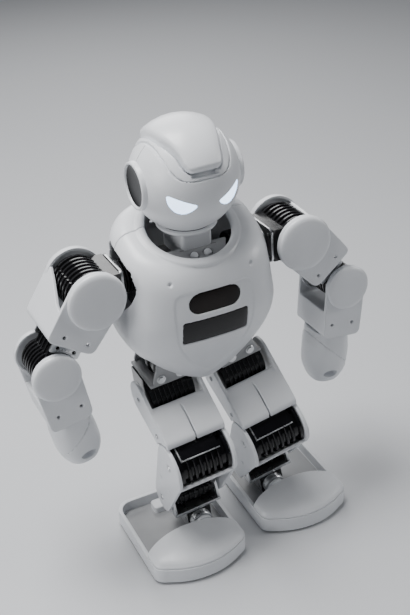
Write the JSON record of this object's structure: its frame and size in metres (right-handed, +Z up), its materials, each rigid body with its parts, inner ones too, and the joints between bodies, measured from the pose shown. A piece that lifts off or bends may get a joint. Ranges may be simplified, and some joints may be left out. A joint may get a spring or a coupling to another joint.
{
  "type": "humanoid robot kit",
  "caption": "Desktop humanoid robot kit: white moulded shells over black servos, jointed arms and legs, standing on two broad feet.",
  "frame": {"origin": "on the floor under the middle of the robot's bounding box", "axes": "+Z up, the robot faces -Y, its left side is at +X"},
  "size_m": [0.2888, 0.1296, 0.369],
  "materials": {
    "white_shell": "satin moulded ABS, fine grain",
    "black_servo": "glossy black nylon with moulded cooling fins",
    "gloss_black": "polished black",
    "dark_window": "smoked window",
    "dark_plastic": "matt dark plastic",
    "grey_plastic": "satin grey plastic",
    "steel": "bright formed bracket",
    "circuit_board": "solder mask",
    "eye_light": "lit translucent lens",
    "rubber": "fine ribbed rubber"
  },
  "bodies": {
    "torso": {"chest_shell": "white_shell", "back_shell": "white_shell", "chest_window": "dark_window", "chest_panel": "gloss_black", "chassis": "grey_plastic", "battery_pack": "black_servo", "control_board": "circuit_board", "collar_panel": "grey_plastic", "head_face": "white_shell", "head_back": "white_shell", "head_crown": "white_shell", "right_ear": "white_shell", "right_eye": "eye_light", "left_ear": "white_shell", "left_eye": "eye_light", "neck_block": "dark_plastic", "right_shoulder_pitch_servo": "black_servo", "right_hip_roll_servo": "black_servo", "left_shoulder_pitch_servo": "black_servo", "left_hip_roll_servo": "black_servo"},
    "right_shoulder": {"right_shoulder_bracket": "steel", "right_shoulder_servo": "black_servo"},
    "right_upper_arm": {"right_upper_arm_shell": "white_shell", "right_shoulder_cap": "white_shell", "right_elbow_servo": "black_servo"},
    "right_forearm": {"right_forearm_shell": "white_shell", "right_elbow_cap": "white_shell", "right_hand": "white_shell"},
    "right_hip": {"right_hip_bracket": "grey_plastic", "right_hip_pitch_servo": "black_servo"},
    "right_thigh": {"right_thigh_cover": "white_shell", "right_knee_servo": "black_servo"},
    "right_shin": {"right_shin_shell": "white_shell", "right_ankle_servo": "black_servo"},
    "right_ankle": {"right_ankle_block": "steel"},
    "right_foot": {"right_foot_shell": "white_shell", "right_sole": "rubber", "right_toe_cover": "white_shell"},
    "right_button": {"right_button": "white_shell"},
    "left_shoulder": {"left_shoulder_bracket": "steel", "left_shoulder_servo": "black_servo"},
    "left_upper_arm": {"left_upper_arm_shell": "white_shell", "left_shoulder_cap": "white_shell", "left_elbow_servo": "black_servo"},
    "left_forearm": {"left_forearm_shell": "white_shell", "left_elbow_cap": "white_shell", "left_hand": "white_shell"},
    "left_hip": {"left_hip_bracket": "grey_plastic", "left_hip_pitch_servo": "black_servo"},
    "left_thigh": {"left_thigh_cover": "white_shell", "left_knee_servo": "black_servo"},
    "left_shin": {"left_shin_shell": "white_shell", "left_ankle_servo": "black_servo"},
    "left_ankle": {"left_ankle_block": "steel"},
    "left_foot": {"left_foot_shell": "white_shell", "left_sole": "rubber", "left_toe_cover": "white_shell"},
    "left_button": {"left_button": "white_shell"},
    "power_switch": {"power_switch": "gloss_black"}
  },
  "joints": [
    {"name": "right_shoulder_pitch", "type": "hinge", "parent": "torso", "child": "right_shoulder", "pos_m": [-0.08884, 0.01825, 0.2537], "axis": [1, 0, 0], "range_deg": [-120, 60]},
    {"name": "right_shoulder_roll", "type": "hinge", "parent": "right_shoulder", "child": "right_upper_arm", "pos_m": [-0.08884, 0.01825, 0.2537], "axis": [0, 0.9986, -0.0523], "range_deg": [-14, 60]},
    {"name": "right_elbow", "type": "hinge", "parent": "right_upper_arm", "child": "right_forearm", "pos_m": [-0.12538, 0.01536, 0.19857], "axis": [0, 0.9986, -0.0523], "range_deg": [-28, 44]},
    {"name": "right_hip_roll", "type": "hinge", "parent": "torso", "child": "right_hip", "pos_m": [-0.03304, 0.01125, 0.175], "axis": [0, 1, 0], "range_deg": [-3, 25]},
    {"name": "right_hip_pitch", "type": "hinge", "parent": "right_hip", "child": "right_thigh", "pos_m": [-0.03031, 0.01125, 0.14312], "axis": [0.9963, 0, 0.0854], "range_deg": [-4, 55]},
    {"name": "right_knee", "type": "hinge", "parent": "right_thigh", "child": "right_shin", "pos_m": [-0.02704, -0.03503, 0.10508], "axis": [0.9963, 0, 0.0854], "range_deg": [-75, 20]},
    {"name": "right_ankle_pitch", "type": "hinge", "parent": "right_shin", "child": "right_ankle", "pos_m": [-0.02223, -0.00475, 0.0489], "axis": [0.9963, 0, 0.0854], "range_deg": [-38, 38]},
    {"name": "right_ankle_roll", "type": "hinge", "parent": "right_ankle", "child": "right_foot", "pos_m": [-0.01992, -0.00475, 0.022], "axis": [0, 1, 0], "range_deg": [-20, 20]},
    {"name": "left_shoulder_pitch", "type": "hinge", "parent": "torso", "child": "left_shoulder", "pos_m": [0.08436, 0.01825, 0.2537], "axis": [1, 0, 0], "range_deg": [-120, 60]},
    {"name": "left_shoulder_roll", "type": "hinge", "parent": "left_shoulder", "child": "left_upper_arm", "pos_m": [0.08436, 0.01825, 0.2537], "axis": [0, 0.9971, -0.0767], "range_deg": [-60, 14]},
    {"name": "left_elbow", "type": "hinge", "parent": "left_upper_arm", "child": "left_forearm", "pos_m": [0.12539, 0.01426, 0.2019], "axis": [0, 0.9971, -0.0767], "range_deg": [-45, 24]},
    {"name": "left_hip_roll", "type": "hinge", "parent": "torso", "child": "left_hip", "pos_m": [0.02856, 0.01125, 0.175], "axis": [0, 1, 0], "range_deg": [-20, 7]},
    {"name": "left_hip_pitch", "type": "hinge", "parent": "left_hip", "child": "left_thigh", "pos_m": [0.03428, 0.01125, 0.14352], "axis": [0.9839, 0, 0.1788], "range_deg": [-20, 45]},
    {"name": "left_knee", "type": "hinge", "parent": "left_thigh", "child": "left_shin", "pos_m": [0.04206, -0.03009, 0.10073], "axis": [0.9839, 0, 0.1788], "range_deg": [-75, 15]},
    {"name": "left_ankle_pitch", "type": "hinge", "parent": "left_shin", "child": "left_ankle", "pos_m": [0.05154, 0.00575, 0.04856], "axis": [0.9839, 0, 0.1788], "range_deg": [-38, 38]},
    {"name": "left_ankle_roll", "type": "hinge", "parent": "left_ankle", "child": "left_foot", "pos_m": [0.05636, 0.00575, 0.022], "axis": [0, 1, 0], "range_deg": [-20, 20]},
    {"name": "right_button_press", "type": "slide", "parent": "torso", "child": "right_button", "axis": [0, 0.3746, -0.9272], "range_m": [0, 0.0012], "stiffness_N_per_m": 250, "springref_m": -0.0004},
    {"name": "left_button_press", "type": "slide", "parent": "torso", "child": "left_button", "axis": [0, 0.3746, -0.9272], "range_m": [0, 0.0012], "stiffness_N_per_m": 250, "springref_m": -0.0004},
    {"name": "power_switch_slide", "type": "slide", "parent": "torso", "child": "power_switch", "axis": [1, 0, 0], "range_m": [0, 0.0032]}
  ]
}
